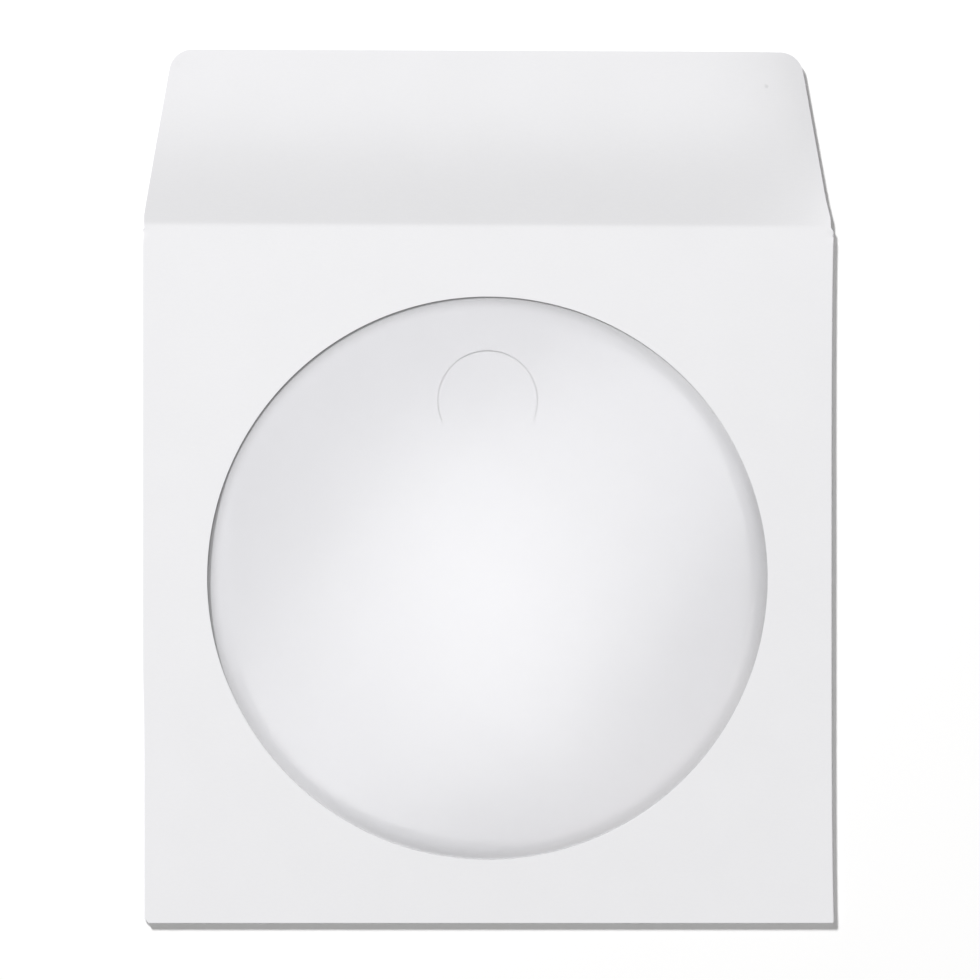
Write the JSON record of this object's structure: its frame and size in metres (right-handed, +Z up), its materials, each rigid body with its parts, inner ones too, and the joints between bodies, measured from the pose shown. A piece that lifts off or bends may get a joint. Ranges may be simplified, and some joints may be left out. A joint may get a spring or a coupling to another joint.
{
  "type": "window envelope",
  "caption": "Paper sleeve for a disc with a round clear film window, an open trimmed closing flap and a tuck tab cut in the back panel.",
  "frame": {"origin": "middle of the back panel's outer face, halfway between the side folds and halfway from the bottom fold to the flap's crease, on the surface that the sleeve lies on", "axes": "+Z up out of the window side, +Y from the bottom fold towards the open flap, +X to the right seen from above"},
  "size_m": [0.1246, 0.1578, 0.0028],
  "materials": {
    "paper": "uncoated white, fine even formation",
    "film": "clear, smooth and glossy",
    "adhesive": "dried glue line"
  },
  "bodies": {
    "root": {"paper_sleeve": "paper", "window_film": "film", "window_adhesive": "adhesive", "seam_adhesive_left": "adhesive", "seam_adhesive_right": "adhesive"}
  },
  "joints": []
}
